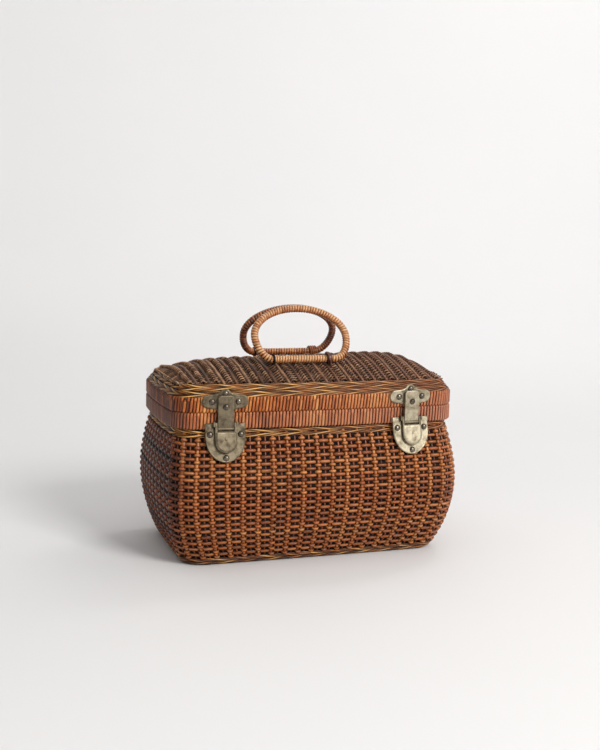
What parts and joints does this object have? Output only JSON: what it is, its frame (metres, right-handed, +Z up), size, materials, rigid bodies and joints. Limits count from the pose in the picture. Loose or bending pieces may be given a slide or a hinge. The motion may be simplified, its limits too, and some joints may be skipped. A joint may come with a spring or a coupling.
{
  "type": "lidded wicker hand basket",
  "caption": "Woven wicker hand basket with a bulging body, a hinged domed lid, swinging cane-wrapped ring handles and draw latches on cane-wrapped rim hoops.",
  "frame": {"origin": "centre of the bottom of the bounding box, on the surface that the basket stands on", "axes": "+X along the long side, to the right seen from the latches; -Y is the front with the latches, +Y the hinge side; +Z up"},
  "size_m": [0.31, 0.194, 0.2489],
  "materials": {
    "weave": "varnished split-cane weave, orange-brown with dark gaps",
    "lid_weave": "varnished split-cane weave, aged dark brown",
    "braid": "braided cane, golden brown, satin",
    "hoop_cane": "close-wound glossy cane over a rim hoop",
    "handle_cane": "close-wound glossy cane over a ring core",
    "binding_cane": "dark cane lashing",
    "nickel": "aged nickel-plated pressed sheet, dulled and warm",
    "rivet_metal": "darkened domed rivet, satin"
  },
  "bodies": {
    "basket": {"foot_border": "braid", "woven_base": "weave", "body_wall": "weave", "body_top_braid": "braid", "body_hoop": "hoop_cane", "left_latch_base": "nickel", "left_latch_rivet_1": "rivet_metal", "left_latch_rivet_2": "rivet_metal", "left_latch_rivet_3": "rivet_metal", "left_hinge_body_leaf": "nickel", "left_hinge_pin": "rivet_metal", "left_hinge_body_rivet_1": "rivet_metal", "left_hinge_body_rivet_2": "rivet_metal", "right_latch_base": "nickel", "right_latch_rivet_1": "rivet_metal", "right_latch_rivet_2": "rivet_metal", "right_latch_rivet_3": "rivet_metal", "right_hinge_body_leaf": "nickel", "right_hinge_pin": "rivet_metal", "right_hinge_body_rivet_1": "rivet_metal", "right_hinge_body_rivet_2": "rivet_metal"},
    "lid": {"lid_hoop": "hoop_cane", "lid_braid_lower": "braid", "lid_braid_upper": "braid", "lid_panel": "lid_weave", "left_keeper_plate": "nickel", "left_keeper_rivet_1": "rivet_metal", "left_keeper_rivet_2": "rivet_metal", "left_keeper_rivet_3": "rivet_metal", "left_hinge_lid_leaf": "nickel", "left_hinge_lid_rivet_1": "rivet_metal", "left_hinge_lid_rivet_2": "rivet_metal", "front_handle_binding_left": "binding_cane", "back_handle_binding_left": "binding_cane", "right_keeper_plate": "nickel", "right_keeper_rivet_1": "rivet_metal", "right_keeper_rivet_2": "rivet_metal", "right_keeper_rivet_3": "rivet_metal", "right_hinge_lid_leaf": "nickel", "right_hinge_lid_rivet_1": "rivet_metal", "right_hinge_lid_rivet_2": "rivet_metal", "front_handle_binding_right": "binding_cane", "back_handle_binding_right": "binding_cane"},
    "front_handle": {"front_handle": "handle_cane"},
    "back_handle": {"back_handle": "handle_cane"},
    "left_lever": {"left_lever": "nickel", "left_strap_pin": "rivet_metal"},
    "left_strap": {"left_strap": "nickel", "left_strap_stud": "rivet_metal"},
    "right_lever": {"right_lever": "nickel", "right_strap_pin": "rivet_metal"},
    "right_strap": {"right_strap": "nickel", "right_strap_stud": "rivet_metal"}
  },
  "joints": [
    {"name": "lid_hinge", "type": "hinge", "parent": "basket", "child": "lid", "pos_m": [0, 0.0847, 0.15215], "axis": [-1, 0, 0], "range_deg": [0, 100]},
    {"name": "front_handle_swing", "type": "hinge", "parent": "lid", "child": "front_handle", "pos_m": [-0.004, -0.033, 0.1962], "axis": [1, 0, 0], "range_deg": [0, 125]},
    {"name": "back_handle_swing", "type": "hinge", "parent": "lid", "child": "back_handle", "pos_m": [-0.004, 0.033, 0.1962], "axis": [-1, 0, 0], "range_deg": [0, 125]},
    {"name": "left_lever_hinge", "type": "hinge", "parent": "basket", "child": "left_lever", "pos_m": [-0.09926, -0.08398, 0.14149], "axis": [-0.998, 0.0635, 0], "range_deg": [0, 105]},
    {"name": "left_strap_hinge", "type": "hinge", "parent": "left_lever", "child": "left_strap", "pos_m": [-0.09932, -0.08494, 0.13761], "axis": [0.998, -0.0635, 0], "range_deg": [0, 121]},
    {"name": "right_lever_hinge", "type": "hinge", "parent": "basket", "child": "right_lever", "pos_m": [0.09274, -0.08438, 0.14149], "axis": [-0.9982, -0.0593, 0], "range_deg": [0, 105]},
    {"name": "right_strap_hinge", "type": "hinge", "parent": "right_lever", "child": "right_strap", "pos_m": [0.0928, -0.08535, 0.13761], "axis": [0.9982, 0.0593, 0], "range_deg": [0, 121]}
  ],
  "couplings": [
    {"joint": "left_strap_hinge", "follows": "left_lever_hinge", "ratio": 1.15},
    {"joint": "right_strap_hinge", "follows": "right_lever_hinge", "ratio": 1.15}
  ]
}
